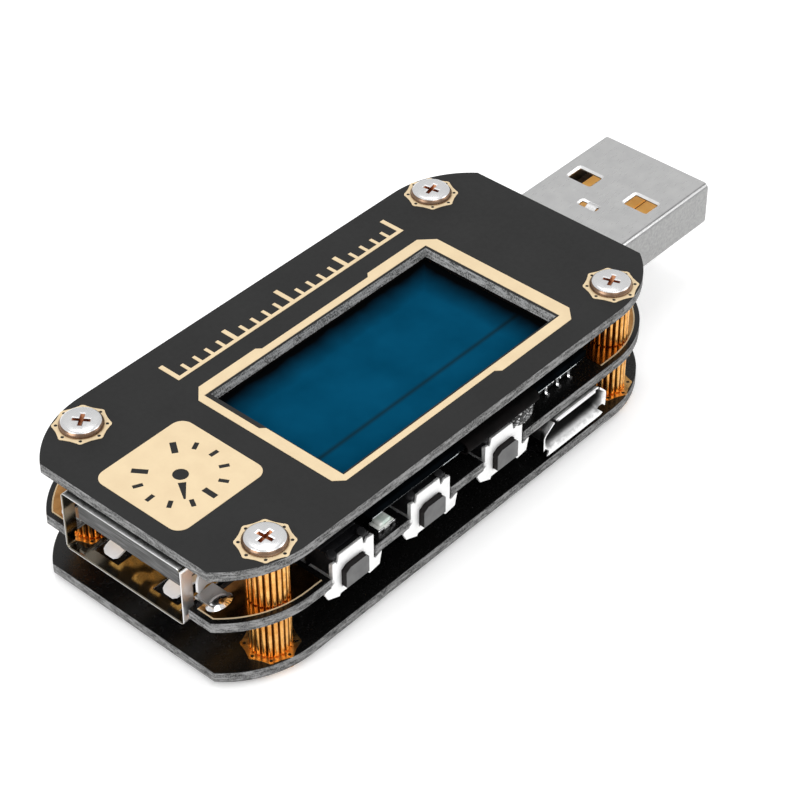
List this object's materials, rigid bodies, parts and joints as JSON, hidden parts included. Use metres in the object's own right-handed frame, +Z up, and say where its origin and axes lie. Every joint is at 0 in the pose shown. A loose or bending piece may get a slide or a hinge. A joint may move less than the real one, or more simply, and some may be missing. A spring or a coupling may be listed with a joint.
{
  "type": "usb power meter",
  "caption": "Open-stack USB power meter: boards on brass standoffs with a USB-A plug, a USB-A socket, side-push buttons and a display window.",
  "frame": {"origin": "middle of the bounding box in plan, at the height of the undersides of the bottom screw heads, on which it rests", "axes": "+X towards the USB-A plug, +Z up out of the display, so the push buttons face -Y"},
  "size_m": [0.0678, 0.0262, 0.013],
  "materials": {
    "board": "black solder mask on glass-fibre laminate, satin; woven grey fibre shows on the cut edges; champagne gold plating on pads and artwork",
    "standoff_brass": "turned brass with a straight knurl, bright crests and dark roots",
    "screw_steel": "nickel-plated flat screw head with a cross recess",
    "connector_steel": "nickel-plated drawn sheet steel, satin with fine draw lines",
    "contact_gold": "gold-plated spring contact",
    "connector_plastic": "dark grey moulded plastic",
    "button_tin": "bright tin-plated pressed sheet",
    "button_housing": "black moulded plastic",
    "button_plunger": "dark grey moulded plastic, satin",
    "dome_steel": "stamped spring steel",
    "screen_glass": "deep blue polariser film on glass, smooth, soft reflections",
    "dark_glass": "dark display glass with bright ground edges",
    "ribbon_film": "thin dark polyimide film",
    "foam": "closed-cell foam tape",
    "chip_plastic": "black epoxy moulding, fine matt grain",
    "crystal_can": "small metal can",
    "ceramic": "tan ceramic with tinned ends",
    "led_body": "white moulded body with a clear lens"
  },
  "bodies": {
    "chassis": {"top_plate": "board", "main_board": "board", "bottom_plate": "board", "upper_standoff_1": "standoff_brass", "upper_standoff_2": "standoff_brass", "upper_standoff_3": "standoff_brass", "upper_standoff_4": "standoff_brass", "lower_standoff_1": "standoff_brass", "lower_standoff_2": "standoff_brass", "lower_standoff_3": "standoff_brass", "lower_standoff_4": "standoff_brass", "top_screw_1": "screw_steel", "top_screw_2": "screw_steel", "top_screw_3": "screw_steel", "top_screw_4": "screw_steel", "bottom_screw_1": "screw_steel", "bottom_screw_2": "screw_steel", "bottom_screw_3": "screw_steel", "bottom_screw_4": "screw_steel", "usb_plug_shell": "connector_steel", "usb_socket_shell": "connector_steel", "micro_usb_shell": "connector_steel", "usb_plug_contact_1": "contact_gold", "usb_plug_contact_2": "contact_gold", "usb_plug_contact_3": "contact_gold", "usb_plug_contact_4": "contact_gold", "usb_socket_contact_1": "contact_gold", "usb_socket_contact_2": "contact_gold", "usb_socket_contact_3": "contact_gold", "usb_socket_contact_4": "contact_gold", "usb_plug_insert": "connector_plastic", "usb_socket_insert": "connector_plastic", "micro_usb_insert": "connector_plastic", "button_cover_1": "button_tin", "button_cover_2": "button_tin", "button_cover_3": "button_tin", "button_housing_1": "button_housing", "button_housing_2": "button_housing", "button_housing_3": "button_housing", "button_dome_1": "dome_steel", "button_dome_2": "dome_steel", "button_dome_3": "dome_steel", "display_front_glass": "screen_glass", "display_back_glass": "dark_glass", "display_ribbon": "ribbon_film", "display_foam_pad": "foam", "microcontroller": "chip_plastic", "power_monitor_chip": "chip_plastic", "voltage_regulator": "chip_plastic", "memory_chip": "chip_plastic", "diode": "chip_plastic", "inductor": "chip_plastic", "shunt_resistor": "chip_plastic", "crystal": "crystal_can", "capacitor_1": "ceramic", "capacitor_2": "ceramic", "status_led": "led_body"},
    "button_1": {"button_plunger_1": "button_plunger"},
    "button_2": {"button_plunger_2": "button_plunger"},
    "button_3": {"button_plunger_3": "button_plunger"}
  },
  "joints": [
    {"name": "button_press_1", "type": "slide", "parent": "chassis", "child": "button_1", "axis": [0, 1, 0], "range_m": [0, 0.00025], "stiffness_N_per_m": 6000},
    {"name": "button_press_2", "type": "slide", "parent": "chassis", "child": "button_2", "axis": [0, 1, 0], "range_m": [0, 0.00025], "stiffness_N_per_m": 6000},
    {"name": "button_press_3", "type": "slide", "parent": "chassis", "child": "button_3", "axis": [0, 1, 0], "range_m": [0, 0.00025], "stiffness_N_per_m": 6000}
  ]
}
